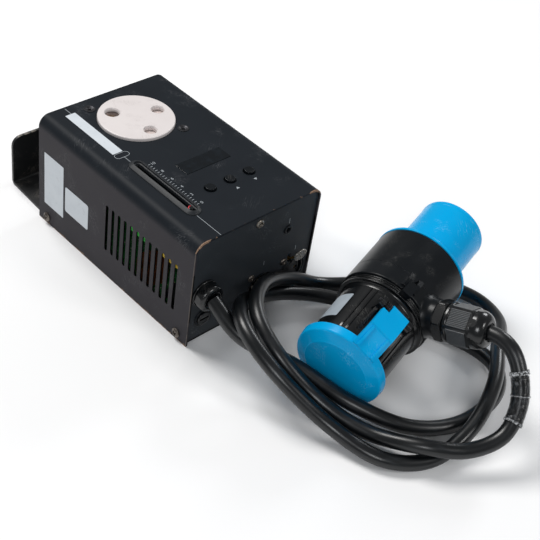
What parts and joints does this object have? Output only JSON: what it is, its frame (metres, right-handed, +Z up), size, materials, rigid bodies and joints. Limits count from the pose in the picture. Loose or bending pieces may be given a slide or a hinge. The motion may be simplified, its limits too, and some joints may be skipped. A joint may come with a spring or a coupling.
{
  "type": "dimmer pack",
  "caption": "Compact lighting dimmer pack: folded steel box with a round outlet, a fader, a display, control sockets, a hanging bracket and a cord to a through-tap connector.",
  "frame": {"origin": "middle of the box's underside, on the floor", "axes": "+X across the box away from its label side, +Y along the box from the control sockets towards the hanging bracket, +Z up"},
  "size_m": [0.1966, 0.3938, 0.086],
  "materials": {
    "black_paint": "satin",
    "panel_paint": "satin",
    "bracket_paint": "satin",
    "nickel": "tarnished",
    "dark_steel": "blackened",
    "black_plastic": "satin",
    "gloss_black": "gloss",
    "grey_plastic": "satin",
    "white_plastic": "gloss",
    "blue_plastic": "gloss",
    "dark_window": "gloss",
    "brass": "satin",
    "cord_rubber": "semi-gloss",
    "green_board": "satin",
    "aluminium": "satin",
    "copper_winding": "lacquered",
    "yellow_case": "satin",
    "blue_case": "satin",
    "green_case": "satin",
    "clear_sleeve": "clear film",
    "fuse_ceramic": "glazed"
  },
  "bodies": {
    "pack": {"top_cover": "black_paint", "chassis": "panel_paint", "hanging_bracket": "bracket_paint", "cover_screw_left_front": "nickel", "cover_screw_left_rear": "nickel", "cover_screw_right_front": "nickel", "cover_screw_right_rear": "nickel", "front_screw": "nickel", "outlet_body": "white_plastic", "outlet_base": "white_plastic", "outlet_contact_earth": "brass", "outlet_contact_live": "brass", "outlet_contact_neutral": "brass", "outlet_screw_1": "dark_steel", "outlet_screw_2": "dark_steel", "fader_bezel": "grey_plastic", "fader_body": "nickel", "display_window": "dark_window", "display_module": "black_plastic", "control_board": "green_board", "power_board": "green_board", "heatsink": "aluminium", "power_switch": "black_plastic", "choke": "copper_winding", "yellow_capacitor": "yellow_case", "blue_capacitor": "blue_case", "terminal_block": "green_case", "xlr_out_body": "black_plastic", "xlr_in_body": "black_plastic", "xlr_in_pins": "nickel", "xlr_out_screw_upper": "nickel", "xlr_out_screw_lower": "nickel", "xlr_in_screw_upper": "nickel", "xlr_in_screw_lower": "nickel", "remote_jack": "black_plastic", "fuse_holder": "black_plastic", "fuse": "fuse_ceramic", "cord_gland_body": "gloss_black", "cord_gland_nut": "gloss_black", "cord_gland_locknut": "gloss_black", "power_cord": "cord_rubber", "cord_sleeve": "clear_sleeve", "tap_body": "black_plastic", "tap_outlet": "gloss_black", "plug_shroud": "blue_plastic", "plug_pin_earth": "nickel", "plug_pin_live": "nickel", "plug_pin_neutral": "nickel", "flap_hinge_pin": "brass", "flap_spring": "nickel", "tap_gland_locknut": "gloss_black", "tap_gland_nut": "gloss_black"},
    "fader": {"fader_lever": "gloss_black"},
    "button_1": {"button_1": "black_plastic"},
    "button_2": {"button_2": "black_plastic"},
    "button_3": {"button_3": "black_plastic"},
    "shutter": {"outlet_shutter": "white_plastic"},
    "latch": {"xlr_latch": "nickel"},
    "fuse_cap": {"fuse_cap": "black_plastic"},
    "flap": {"tap_flap": "blue_plastic"}
  },
  "joints": [
    {"name": "fader_slide", "type": "slide", "parent": "pack", "child": "fader", "axis": [0, 1, 0], "range_m": [0, 0.0505]},
    {"name": "button_1_press", "type": "slide", "parent": "pack", "child": "button_1", "axis": [0, 0, -1], "range_m": [0, 0.001], "stiffness_N_per_m": 300, "springref_m": -0.001},
    {"name": "button_2_press", "type": "slide", "parent": "pack", "child": "button_2", "axis": [0, 0, -1], "range_m": [0, 0.001], "stiffness_N_per_m": 300, "springref_m": -0.001},
    {"name": "button_3_press", "type": "slide", "parent": "pack", "child": "button_3", "axis": [0, 0, -1], "range_m": [0, 0.001], "stiffness_N_per_m": 300, "springref_m": -0.001},
    {"name": "shutter_turn", "type": "hinge", "parent": "pack", "child": "shutter", "pos_m": [-0.0005, 0.0445, 0.0815], "axis": [0, 0, 1], "range_deg": [0, 34], "stiffness_Nm_per_rad": 0.005, "springref_deg": -17.19},
    {"name": "latch_press", "type": "slide", "parent": "pack", "child": "latch", "axis": [0, 1, 0], "range_m": [0, 0.0025], "stiffness_N_per_m": 400, "springref_m": -0.001},
    {"name": "fuse_cap_turn", "type": "hinge", "parent": "pack", "child": "fuse_cap", "pos_m": [-0.0406, -0.08025, 0.0189], "axis": [0, 1, 0], "range_deg": [0, 90]},
    {"name": "flap_open", "type": "hinge", "parent": "pack", "child": "flap", "pos_m": [0.02304, -0.17865, 0.06235], "axis": [-0.2682, 0.8222, 0.5021], "range_deg": [0, 105], "stiffness_Nm_per_rad": 0.03, "springref_deg": -34.38, "deforming": ["flap_spring", "power_cord"]}
  ]
}
